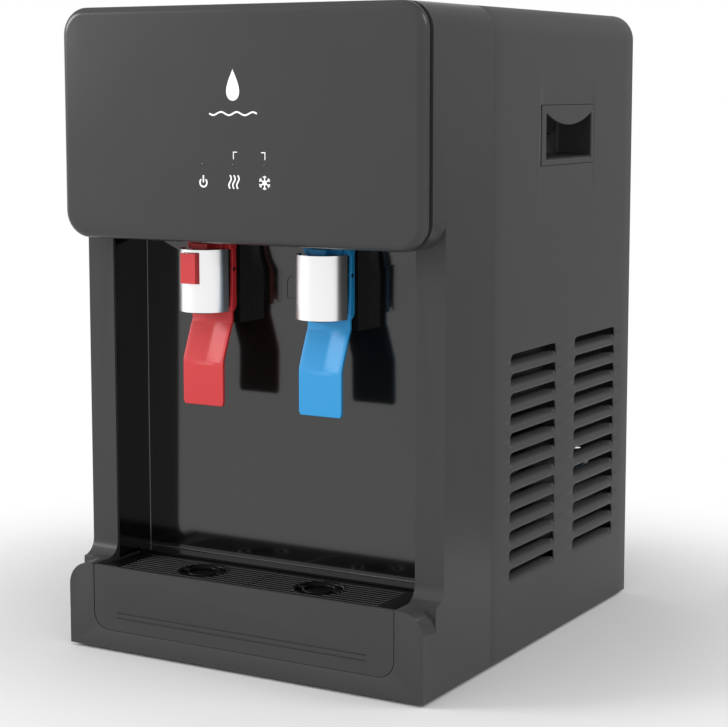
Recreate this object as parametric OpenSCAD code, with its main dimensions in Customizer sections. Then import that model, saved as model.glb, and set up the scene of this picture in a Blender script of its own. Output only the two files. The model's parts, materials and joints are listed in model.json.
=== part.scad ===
// Countertop hot and cold water dispenser, plumbed in, with two taps.
// Millimetres, +Z up. The origin is on the countertop under the middle of the case,
// and the front of the case faces -Y.

/* [Case] */
// Width of the case
body_w = 305; // [280:1:360]
// Depth of the case
body_d = 356; // [330:1:420]
// Height from the countertop to the top
body_h = 480; // [450:1:560]
// Radius of the rounded upper edges of the case
corner_r = 20; // [12:1:26]
// Wall of the moulded parts
wall = 2.5; // [2:0.1:3]
// Thickness of the steel wrap and the back panel
sheet = 1.2; // [0.8:0.1:1.6]
// Height of the rubber feet
foot_h = 2.5; // [2:0.5:4]
// Gap between separate parts
gap = 0.3; // [0.2:0.05:0.4]
// Where the front moulding ends and the steel wrap starts, from the front
seam_y = 103.6; // [100:0.2:110]
// How far the back panel stands inside the rear edge
back_recess = 16; // [14:0.5:20]

/* [Head] */
// Height of the underside of the head
head_z = 312; // [300:1:330]
// Thickness of the control panel
panel_t = 8.3; // [6:0.1:10]
// Shadow gap behind the control panel
panel_gap = 3.1; // [2:0.1:4]
// Depth of the head where it overhangs, from the front
head_d = 31; // [28:0.5:34]
// Spacing of the three indicator lights
light_pitch = 26; // [20:1:34]
// Height of the indicator lights
light_z = 368; // [350:1:400]

/* [Alcove] */
// Width of the alcove opening
alcove_w = 259; // [240:1:266]
// How far the columns stand behind the front
column_y = 30; // [28:0.5:34]
// Back wall of the alcove, from the front
alcove_y = 72; // [68:1:80]
// Radius of the upright corners of the alcove
alcove_r = 1; // [0.5:0.5:6]
// Radius of the hollow at the foot of the back wall
cove_r = 1; // [0.5:0.5:6]
// Middle of the blanking plate, from the middle of the case
plate_x = 12.8; // [10:0.1:13]
// Width of the blanking plate between the taps
plate_w = 28.6; // [20:0.2:32]
// Height of the blanking plate
plate_h = 17.5; // [12:0.5:24]
// Height of the lower edge of the blanking plate
plate_z = 267.5; // [258:0.5:272]

/* [Base and drip tray] */
// Height of the base at the front
base_h = 66; // [60:1:80]
// Radius of the base's upper front corners
base_r = 18; // [10:1:20]
// Height of the tray's lower edge
tray_z = 17; // [12:0.5:22]
// Radius of the tray's lower corners
tray_r = 13; // [6:0.5:16]
// Wall of the tray
tray_wall = 2; // [1.6:0.1:2.4]
// Depth of the tray, from the front
tray_d = 56.5; // [54:0.5:57.5]
// Length of a slot in the grille
slot_l = 108; // [90:1:112]
// Spacing of the slots
slot_pitch = 4.8; // [4.4:0.1:5.2]
// Width of a slot
slot_w = 2.6; // [2:0.1:3]
// Outer radius of a drip target
target_r = 20; // [16:0.5:21]

/* [Taps] */
// Distance of each tap from the middle
tap_x = 50.5; // [48:0.5:60]
// Spout axis, from the front
spout_y = 33; // [32:0.5:34]
// Height of the spout's lower end
spout_z = 257.5; // [250:0.5:262]
// Bore of the spout
spout_bore = 5; // [4:0.1:5.4]
// Outer radius of the round tap cover
cover_r = 19.6; // [19:0.1:21]
// Wall of the tap cover
cover_t = 1.2; // [1:0.1:1.5]
// Height of the tap cover
cover_h = 46; // [40:0.5:48]
// Axis of the round tap cover, from the front
cover_y = 38; // [37.5:0.1:38.5]
// Lever pivot, from the front
pivot_y = 46; // [45.5:0.1:46.5]
// Height of the lever pivot
pivot_z = 290; // [289:0.5:291]
// Radius of the lever pin
pin_r = 1.5; // [1.2:0.1:1.8]
// Radial play of the lever and the valve stem
play = 0.05; // [0.03:0.01:0.08]
// Width of the lever's paddle
paddle_w = 35.6; // [30:0.2:38]
// Height of the paddle's lower end
paddle_z = 189; // [180:1:205]
// Height of the bend in the lever
bend_z = 220.5; // [214:0.5:228]
// Front of the mount block, from the front
block_y = 56; // [55.5:0.5:58]
// Width of the mount block
block_w = 36; // [30:0.5:40]
// Height of the mount block's underside
block_z = 249; // [244:0.5:256]
// Width of the child-safety button
button_w = 13; // [10:0.2:14]
// Height of the child-safety button
button_h = 22; // [16:0.5:24]
// How far the child-safety button stands out of the cover
button_proud = 3.6; // [2:0.1:5]

/* [Sides] */
// Length of a louvre
louvre_l = 79.5; // [60:0.5:84]
// Height of a louvre's window
louvre_h = 12.2; // [10:0.2:13]
// Radius of the upper corners of a louvre's window
louvre_r = 5; // [3:0.5:6]
// Opening between a louvre's lip and the top of its window
louvre_gap = 6.5; // [4:0.5:7]
// Spacing of the louvres
louvre_pitch = 14.64; // [13:0.02:16]
// Louvres in a column
louvre_n = 12; // [6:1:14]
// Top of the highest louvre
louvre_top = 228.6; // [200:0.2:240]
// Start of the front column of louvres, from the front
louvre_y1 = 133; // [125:1:140]
// Start of the rear column of louvres, from the front
louvre_y2 = 247; // [240:1:255]
// Start of the hand grip, from the front
grip_y = 182.5; // [170:0.5:200]
// Length of the hand grip's frame
grip_l = 95.5; // [80:0.5:100]
// Lower edge of the hand grip's frame
grip_z = 364; // [350:1:380]
// Height of the hand grip's frame
grip_h = 45; // [36:1:50]
// Depth of the hand grip
grip_d = 30; // [24:1:34]
// Groove between the front of the grip's plate and the wrap
grip_groove = 2.4; // [1:0.1:3]

/* [Water and cooling] */
// Radius of the hot tank
hot_r = 46; // [38:1:48]
// Radius of the cold tank
cold_r = 47; // [40:1:48]
// Radius of a filter cartridge
filter_r = 27; // [22:0.5:28]
// Radius of the compressor's shell
comp_r = 60; // [50:1:62]
// Outer radius of the water tubes
tube_r = 4.8; // [4.4:0.1:5.2]
// Bore of the water tubes
tube_bore = 3.2; // [2.6:0.1:3.4]
// Radius of the supply tube that the inlet takes
supply_r = 3.2; // [3:0.05:3.3]
// Radius of the mains cord that the gland takes
cord_r = 3.75; // [3:0.05:4.2]

/* [Hidden] */
$fn = 48;
front = -body_d / 2;
half_w = body_w / 2;
opening_w = alcove_w / 2;
wall_half = half_w - wall;
frame_y = panel_t + panel_gap;
wrap_y = seam_y + gap;
back_y = body_d - back_recess;
pan_t = 1.5;
pan_top = foot_h + pan_t;
liner_y = column_y + wall + gap;
liner_back = alcove_y + wall;
pocket_d = tray_d + 1.4;
floor_z = tray_z - gap;
light_r = 1.6;
light_hole = light_r + 0.1;
cover_in = cover_r - cover_t;
cover_z = spout_z - 1;
cover_top = cover_z + cover_h;
block_top = head_z - gap;
duct_z = 280;
duct_r = 4;
tail_r = 8;
tail_end = liner_back + 22;
nut_t = 7;
body_half = 12.8;
rib_half = cover_in - 1.6;
cheek_in = 16.8;
cheek_t = 2.4;
cheek_out = cheek_in + cheek_t;
chamber_r = 5;
valve_r = 7.5;
valve_top = 292;
chamber_top = 288;
seat_z = 270;
seat_t = 2;
stem_r = 2;
cap_z = 304.5;
cap_top = 309;
stem_top = cap_z - 0.7;
spring_seat = 299;
button_y = cover_y - cover_r - button_proud;
flange_half = button_w / 2 + 1.5;
flange_y = cover_y - sqrt(pow(cover_in, 2) - pow(flange_half, 2)) + gap;
flange_t = 0.8;
button_z = 278;
tank_top = 190;
tank_y = 245;
hot_x = -78;
cold_x = 72;
cold_y = 203;
cold_z = 200;
cold_h = 145;
foam_in = cold_r + 8;
foam_r = foam_in + 13;
comp_x = 68;
comp_y = 262;
drain_z = 48;
drain_pitch = 40;
switch_z = 110;
switch_x = 100;
switch_pitch = 32;
gland_x = 130;
gland_z = 40;
inlet_x = 0;
inlet_z = 165;
filter_y = 304;
filter_z = 225;
filter_h = 200;
head_mid = 450;

// Extrudes an XZ outline from y0 to y1, both measured from the front of the case.
module along_y(y0, y1) {
    translate([0, front + y1, 0]) rotate([90, 0, 0]) linear_extrude(y1 - y0) children();
}

// Extrudes a YZ outline, with y measured from the front, from x0 to x1.
module along_x(x0, x1) {
    translate([x0, front, 0]) rotate([90, 0, 90]) linear_extrude(x1 - x0) children();
}

// Box between two corners, with y measured from the front.
module block(low, high) {
    translate([low[0], front + low[1], low[2]]) cube(high - low);
}

// Upright cylinder at x, y from z0 to z1.
module rod(x, y, z0, z1, r) {
    translate([x, front + y, z0]) cylinder(h = z1 - z0, r = r);
}

// Cylinder along Y at x, z from y0 to y1.
module rod_y(x, z, y0, y1, r) {
    translate([x, front + y1, z]) rotate([90, 0, 0]) cylinder(h = y1 - y0, r = r);
}

// Cylinder along X at y, z from x0 to x1.
module rod_x(y, z, x0, x1, r) {
    translate([x0, front + y, z]) rotate([0, 90, 0]) cylinder(h = x1 - x0, r = r);
}

// Outline with rounded upper corners and square lower ones, centred on x = 0.
module arch_outline(half, z0, z1, r) {
    translate([-half, z0]) square([2 * half, z1 - z0 - r]);
    translate([-half + r, z0]) square([2 * (half - r), z1 - z0]);
    for (s = [-1, 1]) translate([s * (half - r), z1 - r]) circle(r);
}

// Outline with four rounded corners, centred on x = 0.
module round_outline(half, z0, z1, r) {
    translate([-half, z0 + r]) square([2 * half, z1 - z0 - 2 * r]);
    translate([-half + r, z0]) square([2 * (half - r), z1 - z0]);
    for (s = [-1, 1]) for (z = [z0 + r, z1 - r]) translate([s * (half - r), z]) circle(r);
}

// Outline with rounded lower corners and square upper ones.
module tray_outline(half, z0, z1, r) {
    translate([-half, z0 + r]) square([2 * half, z1 - z0 - r]);
    translate([-half + r, z0]) square([2 * (half - r), z1 - z0]);
    for (s = [-1, 1]) translate([s * (half - r), z0 + r]) circle(r);
}

// Coil spring with flat, closed rings, upright at x, y.
module spring_rings(x, y, z0, z1, r, wire, turns) {
    pitch = (z1 - z0 - 2 * wire) / turns;
    for (i = [0 : turns]) translate([x, front + y, z0 + wire + i * pitch])
        rotate_extrude() translate([r, 0]) circle(wire, $fn = 16);
    for (i = [0 : turns - 1]) rod(x + (i % 2 == 0 ? r : -r), y, z0 + wire + i * pitch,
        z0 + wire + (i + 1) * pitch, wire * 0.8);
}

// ---- Head ----

module front_panel() {
    color("#4d4d4d") difference() {
        union() {
            along_y(0, panel_t) round_outline(half_w - 0.8, head_z, body_h, corner_r);
            along_y(panel_t, frame_y) round_outline(half_w - 7, head_z + 6, body_h - 6, corner_r - 6);
        }
        along_y(wall, frame_y + 1) round_outline(half_w - 10, head_z + 9, body_h - 9, corner_r - 8);
        for (i = [-1 : 1]) rod_y(i * light_pitch, light_z, -1, panel_t, light_hole);
    }
}

// Light guide that carries the board's light to the panel's face.
module light_guide(i) {
    color("#2a2a2c") union() {
        rod_y(i * light_pitch, light_z, 0.1, frame_y + wall, light_r);
        rod_y(i * light_pitch, light_z, wall + 0.2, wall + 1.7, light_r + 1.4);
    }
}

module control_board() {
    board_y = frame_y + wall + 0.5;
    color("darkgreen") union() {
        block([-70, board_y, light_z - 28], [70, board_y + 1.6, light_z + 32]);
        for (x = [-50, -20, 34]) block([x, board_y + 1.5, light_z + 4], [x + 16, board_y + 7, light_z + 18]);
        block([-30, board_y + 1.5, light_z - 24], [24, board_y + 10, light_z - 12]);
        for (i = [-1 : 1]) rod_y(i * light_pitch, light_z, board_y - 0.4, board_y + 1, 1.2);
    }
}

// ---- Front moulding ----

module pocket_cut() {
    along_y(-1, pocket_d) tray_outline(opening_w + gap, floor_z, base_h + 1, tray_r + gap);
}

module front_frame() {
    foot_cove = 12;
    color("#484848") difference() {
        union() {
            // Closed front of the head with its overhanging rim
            difference() {
                along_y(frame_y, head_d) round_outline(half_w, head_z, body_h, corner_r);
                along_y(frame_y + wall, head_d + 1)
                    round_outline(wall_half, head_z + wall, body_h - wall, corner_r - wall);
            }
            // Columns and the shell behind the head
            difference() {
                along_y(column_y, seam_y) arch_outline(half_w, foot_h, body_h, corner_r);
                along_y(column_y + wall, seam_y + 1)
                    arch_outline(wall_half, -1, body_h - wall, corner_r - wall);
                block([-opening_w, column_y - 1, 0], [opening_w, column_y + wall + 1, head_z]);
                along_y(column_y - 1, column_y + wall + 1)
                    round_outline(wall_half, head_z + wall, body_h - wall, corner_r - wall);
            }
            // Base with the walls of the tray's pocket
            difference() {
                along_y(0, column_y + wall) arch_outline(half_w, foot_h, base_h, base_r);
                along_y(wall, column_y + wall + 1) arch_outline(wall_half, -1, base_h - wall, base_r - wall);
            }
            intersection() {
                along_y(0.5, pocket_d + wall) tray_outline(opening_w + gap + wall, floor_z - wall,
                    base_h, tray_r + gap + wall);
                union() {
                    along_y(0, column_y + wall) arch_outline(half_w, foot_h, base_h, base_r);
                    along_y(column_y, pocket_d + wall)
                        arch_outline(half_w, foot_h, base_h - wall - gap, base_r);
                }
            }
            // Concave sweep from the base up to the columns
            for (s = [-1, 1]) intersection() {
                difference() {
                    block([s > 0 ? opening_w : -half_w, column_y - foot_cove, base_h - base_r],
                        [s > 0 ? half_w : -opening_w, column_y + 0.5, base_h + foot_cove]);
                    rod_x(column_y - foot_cove, base_h + foot_cove, -half_w - 1, half_w + 1, foot_cove);
                }
                along_y(0, column_y + 1) arch_outline(half_w, foot_h, base_h + 30, base_r);
            }
        }
        pocket_cut();
        // Room for the base pan and the feet's necks
        block([-wall_half, wall, 0], [wall_half, seam_y + 1, pan_top + 4]);
        for (i = [-1 : 1]) rod_y(i * light_pitch, light_z, frame_y - 1, frame_y + wall + 1, light_hole);
    }
}

// ---- Alcove ----

// Plan outline of the alcove, as a U that is open at the front.
module alcove_plan(half, y0, y1, r) {
    translate([-half, y0]) square([2 * half, y1 - y0 - r]);
    translate([-half + r, y0]) square([2 * (half - r), y1 - y0]);
    for (s = [-1, 1]) translate([s * (half - r), y1 - r]) circle(r);
}

module alcove_space(grow, z0, z1, y0) {
    translate([0, front, z0]) linear_extrude(z1 - z0)
        alcove_plan(opening_w + grow, y0, alcove_y + grow, alcove_r + grow);
}

module plate_outline(grow) {
    translate([plate_x, 0])
        arch_outline(plate_w / 2 + grow, plate_z - grow, plate_z + plate_h + grow, 6 + grow);
}

module alcove_liner() {
    floor_y = alcove_y - cove_r;
    color("#3c3c3c") difference() {
        union() {
            difference() {
                alcove_space(wall, base_h - wall, head_z + wall, liner_y);
                alcove_space(0, base_h, head_z, liner_y - 1);
            }
            // Hollow at the foot of the back wall
            difference() {
                block([-opening_w, floor_y, base_h - wall],
                    [opening_w, alcove_y + wall, base_h + cove_r]);
                rod_x(floor_y, base_h + cove_r, -body_w, body_w, cove_r);
            }
        }
        // Room for the tray's pocket; the shelf behind it rests over the pocket's rear wall
        block([-body_w, 0, 0], [body_w, pocket_d, base_h + 1]);
        for (s = [-1, 1]) rod_y(s * tap_x, duct_z, alcove_y - 1, liner_back + 1, tail_r + gap);
        along_y(alcove_y - 1, liner_back + 1) plate_outline(0);
    }
}

module tap_blanking_plate() {
    color("#404040") union() {
        along_y(alcove_y + 0.2, liner_back) plate_outline(-0.35);
        along_y(liner_back, liner_back + 1.5) plate_outline(2.5);
    }
}

// ---- Drip tray ----

module drip_tray() {
    plate_y = 3.3;
    half = opening_w - gap;
    tub_half = half - 3;
    rim_z = base_h - 4.6;
    color("#484848") difference() {
        union() {
            along_y(0.2, plate_y) tray_outline(half, tray_z, base_h - 0.3, tray_r);
            along_y(plate_y - 0.5, tray_d) tray_outline(tub_half, tray_z, rim_z, tray_r - 2);
        }
        along_y(plate_y, tray_d - tray_wall)
            tray_outline(tub_half - tray_wall, tray_z + tray_wall, body_h, tray_r - 3);
        for (z = [27, 31]) block([-108, -1, z - 0.5], [107, 0.9, z + 0.5]);
    }
}

module target_ring(x, z0, z1) {
    difference() {
        rod(x, spout_y - 2, z0, z1, target_r);
        rod(x, spout_y - 2, z0 - 1, z1 + 1, target_r - 3);
    }
    difference() {
        rod(x, spout_y - 2, z0, z1, 12.5);
        rod(x, spout_y - 2, z0 - 1, z1 + 1, 10.5);
    }
    for (s = [-1, 1]) block([x + s * 14.5 - 3.5, spout_y - 4, z0], [x + s * 14.5 + 3.5, spout_y, z1]);
}

module drip_grille() {
    z0 = base_h - 4.4;
    z1 = base_h - 1.7;
    y0 = 3.6;
    y1 = tray_d - 0.2;
    slots = 10;
    mid_y = (y0 + y1) / 2;
    color("#141414") union() {
        difference() {
            block([-opening_w + 4, y0, z0], [opening_w - 4, y1, z1]);
            for (i = [0 : slots - 1]) for (s = [-1, 1]) {
                y = mid_y + (i - (slots - 1) / 2) * slot_pitch;
                block([s * (2 + slot_l / 2) - slot_l / 2, y - slot_w / 2, z0 - 1],
                    [s * (2 + slot_l / 2) + slot_l / 2, y + slot_w / 2, z1 + 1]);
            }
            for (s = [-1, 1]) rod(s * tap_x, spout_y - 2, z0 - 1, z1 + 1, target_r);
        }
        for (s = [-1, 1]) target_ring(s * tap_x, z0, z1);
    }
}

// ---- Steel wrap, hand grips, back and base ----

// Pressed louvre blade: the lower edge stays in the wall and the upper edge leans in.
module louvre_blade(y0, z1) {
    lean = 8.8;
    x = half_w;
    z0 = z1 - louvre_h;
    lip = z1 - louvre_gap;
    along_y(y0 + 0.01, y0 + louvre_l - 0.01) polygon([[x, z0 - 0.2], [x, z0 + 0.7], [x - lean, lip],
        [x - lean - 0.7, lip - 1.2], [x - sheet, z0 - 0.2]]);
    for (y = [y0, y0 + louvre_l - 1]) along_y(y, y + 1)
        polygon([[x, z0], [x, lip], [x - lean, lip], [x - lean - 0.7, lip - 1.2], [x - sheet, z0]]);
}

// Louvre window with rounded upper corners, cut through both sides.
module louvre_window(y0, z1) {
    along_x(-body_w, body_w) translate([y0 + louvre_l / 2, 0])
        arch_outline(louvre_l / 2, z1 - louvre_h, z1, louvre_r, $fn = 24);
}

module wrap_cover() {
    color("#444444") difference() {
        union() {
            difference() {
                along_y(wrap_y, body_d) arch_outline(half_w, foot_h, body_h, corner_r);
                along_y(wrap_y - 1, body_d + 1)
                    arch_outline(half_w - sheet, -1, body_h - sheet, corner_r - sheet);
                for (y = [louvre_y1, louvre_y2]) for (i = [0 : louvre_n - 1])
                    louvre_window(y, louvre_top - i * louvre_pitch);
            }
            for (m = [0, 1]) mirror([m, 0, 0]) for (y = [louvre_y1, louvre_y2])
                for (i = [0 : louvre_n - 1]) louvre_blade(y, louvre_top - i * louvre_pitch);
        }
        grip_window();
    }
}

// Window for both hand grips.
module grip_window() {
    block([-body_w, grip_y - grip_groove, grip_z - gap],
        [body_w, grip_y + grip_l + gap, grip_z + grip_h + gap]);
}

module hand_grip(s) {
    y0 = grip_y + 8;
    y1 = grip_y + grip_l - 4;
    z0 = grip_z + 4.5;
    z1 = grip_z + grip_h - 5.5;
    dip = 9.5;
    reach = (y1 - y0) / 2 + 0.3;
    arc_r = (pow(reach, 2) + pow(dip, 2)) / (2 * dip);
    color("#2c2c2c") mirror([s > 0 ? 0 : 1, 0, 0]) difference() {
        union() {
            block([half_w - sheet - 0.5, grip_y, grip_z], [half_w, grip_y + grip_l, grip_z + grip_h]);
            // Flange behind the wrap
            block([half_w - sheet - 1, grip_y - grip_groove - 2, grip_z - 2],
                [half_w - sheet, grip_y + grip_l + 2, grip_z + grip_h + 2]);
            block([half_w - grip_d - wall, y0 - 2, z0 - 2], [half_w - sheet, y1 + 2, z1 + 2]);
        }
        block([half_w - grip_d, y0, z0], [half_w - wall, y1, z1]);
        difference() {
            block([half_w - wall - 1, y0, z0], [half_w + 1, y1, z1]);
            rod_x((y0 + y1) / 2, z1 - dip + arc_r, half_w - wall - 2, half_w + 2, arc_r);
        }
    }
}

module back_panel() {
    slot_x = 60;
    color("#3a3a3a") difference() {
        along_y(back_y, back_y + sheet)
            arch_outline(half_w - sheet - gap, pan_top + gap, body_h - sheet - gap, corner_r - sheet - gap);
        rod_y(inlet_x, inlet_z, back_y - 1, back_y + 2, 8);
        for (i = [0, 1]) rod_y(hot_x + i * drain_pitch, drain_z, back_y - 1, back_y + 2, 9);
        for (i = [-0.5, 0.5]) block([switch_x + i * switch_pitch - 9, back_y - 1, switch_z - 13],
            [switch_x + i * switch_pitch + 9, back_y + 2, switch_z + 13]);
        rod_y(gland_x, gland_z, back_y - 1, back_y + 2, 8);
        for (i = [0 : 5])
            block([-slot_x / 2 + 22, back_y - 1, 30 + i * 12], [slot_x / 2 + 22, back_y + 2, 35 + i * 12]);
    }
}

module base_pan() {
    color("gray") difference() {
        union() {
            block([-wall_half + gap, wall + gap, foot_h], [wall_half - gap, body_d - 3, pan_top]);
            block([-wall_half + gap, back_y - 4, foot_h], [wall_half - gap, back_y - 2.5, pan_top + 12]);
        }
        for (s = [-1, 1]) for (y = [30, body_d - 30]) rod(s * 125, y, foot_h - 1, pan_top + 1, 4);
        for (i = [0 : 7]) block([-60 + i * 8, 180, foot_h - 1], [-57 + i * 8, 240, pan_top + 1]);
    }
}

module rubber_foot(s, y) {
    color("#161616") union() {
        rod(s * 125, y, 0, foot_h, 12);
        rod(s * 125, y, foot_h, pan_top, 4);
        rod(s * 125, y, pan_top, pan_top + 2, 6);
    }
}

module case_screws() {
    color("silver") for (s = [-1, 1]) for (z = [30, 170, 310, 440]) union() {
        rod_y(s * (half_w - 12), z, back_y + sheet, back_y + sheet + 2, 3.5);
        rod_y(s * (half_w - 12), z, back_y + sheet + 1.9, back_y + sheet + 2.6, 2.2);
    }
}

// ---- Taps ----

module tap_body(x) {
    color("#141414") difference() {
        union() {
            block([x - block_w / 2, block_y, block_z], [x + block_w / 2, alcove_y, block_top]);
            block([x - body_half, 38, seat_z - 2], [x + body_half, block_y, pivot_z + 6]);
            block([x - 7, spout_y, seat_z - 2], [x + 7, 39, chamber_top + 1]);
            rod(x, spout_y, seat_z - 8, valve_top, valve_r);
            rod(x, spout_y, spout_z, seat_z - 8, valve_r - 0.8);
            rod_y(x, duct_z, alcove_y, tail_end, tail_r);
            block([x - rib_half, cover_y - 3.4, seat_z - 2], [x + rib_half, cover_y + 1.5, seat_z + 4]);
        }
        rod(x, spout_y, seat_z + seat_t, chamber_top, chamber_r);
        rod(x, spout_y, seat_z - 1, seat_z + seat_t + 1, 3.4);
        rod(x, spout_y, spout_z - 1, seat_z, spout_bore);
        rod(x, spout_y, chamber_top - 1, valve_top + 1, stem_r + play);
        rod_y(x, duct_z, spout_y, tail_end + 1, duct_r);
        rod_x(pivot_y, pivot_z, x - body_half - 1, x + body_half + 1, pin_r);
    }
}

module tap_cover(x, has_button) {
    keep_y = cover_y - 3.6;
    color("silver") union() {
        difference() {
            rod(x, cover_y, cover_z, cover_top, cover_r);
            rod(x, cover_y, cover_z - 1, cover_top + 1, cover_in);
            block([x - 2 * cover_r, keep_y, cover_z - 1], [x + 2 * cover_r, alcove_y, cover_top + 1]);
            if (has_button) block([x - button_w / 2 - gap, 0, button_z - gap],
                [x + button_w / 2 + gap, spout_y, button_z + button_h + gap]);
        }
        // Ears that clip to the tap body's rib
        for (s = [-1, 1]) block([x + s * (cover_in - 1.5) - 1.6, keep_y - 2, seat_z - 2],
            [x + s * (cover_in - 1.5) + 1.6, keep_y, seat_z + 4]);
    }
}

// Lever: an upper yoke around the tap body, a sloping middle and an upright paddle.
module lever(x, tint) {
    t = 2.5;
    half = paddle_w / 2;
    top_z = 262;
    top_y = pivot_y - 1;
    slope_y = pivot_y - 0.8;
    yoke_y = pivot_y + 4;
    bend_y = spout_y - 0.2;
    color(tint) difference() {
        union() {
            translate([x, 0, 0]) along_x(-half, half) polygon([[bend_y, paddle_z], [bend_y, bend_z],
                [slope_y, top_z - 12], [slope_y, top_z], [slope_y + t + 0.6, top_z],
                [slope_y + t + 0.6, top_z - 12.6], [bend_y + t + 0.6, bend_z - 0.6], [bend_y + t, paddle_z]]);
            for (s = [-1, 1]) translate([x + (s > 0 ? cheek_in : -cheek_out), 0, 0]) along_x(0, cheek_t)
                polygon([[top_y - 3.5, top_z - 8], [yoke_y - 6, cap_top], [yoke_y, cap_top],
                    [yoke_y, top_z + 2], [yoke_y - 2.5, top_z - 2]]);
            block([x - cheek_out, yoke_y - 8, cap_z], [x + cheek_out, yoke_y, cap_top]);
            block([x - 15, spout_y + 4.5, cap_z], [x + 15, yoke_y - 7.9, cap_top]);
            block([x - 7, spout_y - 3.5, cap_z], [x + 7, spout_y + 5, cap_top]);
        }
        for (s = [-1, 1]) rod_x(pivot_y, pivot_z, x + s * (cheek_in + cheek_t / 2) - 2,
            x + s * (cheek_in + cheek_t / 2) + 2, pin_r + play);
    }
}

module lever_pin(x) {
    color("silver") rod_x(pivot_y, pivot_z, x - cheek_out, x + cheek_out, pin_r);
}

module valve_stem(x) {
    color("silver") union() {
        rod(x, spout_y, seat_z - 2.5, stem_top, stem_r);
        rod(x, spout_y, seat_z - 2.5, seat_z - 1.1, spout_bore - 0.7);
        rod(x, spout_y, spring_seat, spring_seat + 1.2, 4.5);
    }
}

module valve_seal(x) {
    color("#d8d8d0") difference() {
        rod(x, spout_y, seat_z - 1.1, seat_z - 0.1, spout_bore - 0.6);
        rod(x, spout_y, seat_z - 2, seat_z + 1, stem_r);
    }
}

module valve_spring(x) {
    color("silver") spring_rings(x, spout_y, valve_top + 0.1, spring_seat - 0.1, 3.4, 0.4, 4);
}

module tap_nut(x) {
    color("#d8d8d0") translate([x, front + liner_back + 0.1 + nut_t, duct_z]) rotate([90, 0, 0])
        difference() {
            cylinder(h = nut_t, r = 15, $fn = 6);
            translate([0, 0, -1]) cylinder(h = nut_t + 2, r = tail_r + 0.1);
        }
}

module safety_button() {
    x = -tap_x;
    color("#d0474a") union() {
        block([x - button_w / 2, button_y, button_z],
            [x + button_w / 2, flange_y + 0.1, button_z + button_h]);
        block([x - flange_half, flange_y, button_z - 1.5],
            [x + flange_half, flange_y + flange_t, button_z + button_h - 2]);
    }
}

module safety_spring() {
    color("silver") rod_y(-tap_x, button_z + 6, flange_y + flange_t + 0.1, spout_y - valve_r - 0.1, 1.6);
}

// ---- Water, heating and cooling ----

module tube_bend(x, y, z, r) {
    translate([x, front + y, z]) sphere(r);
}

module hot_tank() {
    color("silver") union() {
        difference() {
            rod(hot_x, tank_y, 36, tank_top, hot_r);
            rod(hot_x, tank_y, 37.2, tank_top - 1.2, hot_r - 1.2);
        }
        for (a = [45 : 90 : 315]) rod(hot_x + 34 * cos(a), tank_y + 34 * sin(a), pan_top, 36, 4);
        rod(-tap_x, tank_y, tank_top, tank_top + 12, 4);
        rod_y(hot_x, drain_z, tank_y + hot_r - 1, back_y - 12, 4);
    }
}

module band_heater() {
    color("darkgray") difference() {
        rod(hot_x, tank_y, 80, 125, hot_r + 2.4);
        rod(hot_x, tank_y, 79, 126, hot_r + 0.1);
        block([hot_x - 4, tank_y - 60, 79], [hot_x + 4, tank_y, 126]);
    }
}

module thermostat() {
    color("white") union() {
        rod_y(hot_x, 155, tank_y - hot_r - 9, tank_y - hot_r - 0.3, 8);
        block([hot_x - 14, tank_y - hot_r - 3, 152], [hot_x + 14, tank_y - hot_r - 1.8, 158]);
    }
}

module hot_outlet_tube() {
    z0 = tank_top + 12.1;
    color("#d8d8d0") difference() {
        union() {
            rod(-tap_x, tank_y, z0, duct_z, tube_r);
            tube_bend(-tap_x, tank_y, duct_z, tube_r);
            rod_y(-tap_x, duct_z, tail_end + 0.1, tank_y, tube_r);
        }
        rod(-tap_x, tank_y, z0 - 1, duct_z, tube_bore);
        tube_bend(-tap_x, tank_y, duct_z, tube_bore);
        rod_y(-tap_x, duct_z, tail_end, tank_y, tube_bore);
    }
}

module cold_tank() {
    color("silver") difference() {
        union() {
            rod(cold_x, cold_y, cold_z, cold_z + cold_h, cold_r);
            rod_y(tap_x, duct_z, cold_y - cold_r - 4, cold_y - 20, 4);
        }
        rod(cold_x, cold_y, cold_z + 1.2, cold_z + cold_h - 1.2, cold_r - 1.2);
        rod_y(tap_x, duct_z, cold_y - cold_r - 5, cold_y - 10, 2.8);
    }
}

module evaporator_coil() {
    coil_r = 3;
    color("#b87333") for (z = [-64, -52, -40, -28, -16, 16, 28, 40, 52])
        translate([cold_x, front + cold_y, duct_z + z]) rotate_extrude()
            translate([cold_r + coil_r + 0.3, 0]) circle(coil_r, $fn = 24);
}

module cold_tank_foam() {
    color("#1a1a1a") difference() {
        rod(cold_x, cold_y, cold_z - 15, cold_z + cold_h + 15, foam_r);
        rod(cold_x, cold_y, cold_z - 0.2, cold_z + cold_h + 0.2, foam_in);
        rod_y(tap_x, duct_z, 100, cold_y - 20, tube_r + 0.4);
    }
}

module cold_outlet_tube() {
    color("#d8d8d0") difference() {
        rod_y(tap_x, duct_z, tail_end + 0.1, cold_y - cold_r - 4.1, tube_r);
        rod_y(tap_x, duct_z, tail_end, cold_y - cold_r - 4, tube_bore);
    }
}

module compressor() {
    seat = pan_top + 12;
    h = 130;
    shoulder = h - 30;
    color("#1c1c1c") union() {
        translate([comp_x, front + comp_y, seat]) rotate_extrude() difference() {
            union() {
                square([comp_r, shoulder]);
                intersection() {
                    translate([0, shoulder]) circle(comp_r);
                    square([comp_r, h]);
                }
            }
            translate([0, 20]) square([comp_r - 13, shoulder - 20]);
        }
        for (s = [-1, 1]) block([comp_x + s * 48 - 16, comp_y - 54, seat],
            [comp_x + s * 48 + 16, comp_y + 54, seat + 3]);
    }
}

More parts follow.
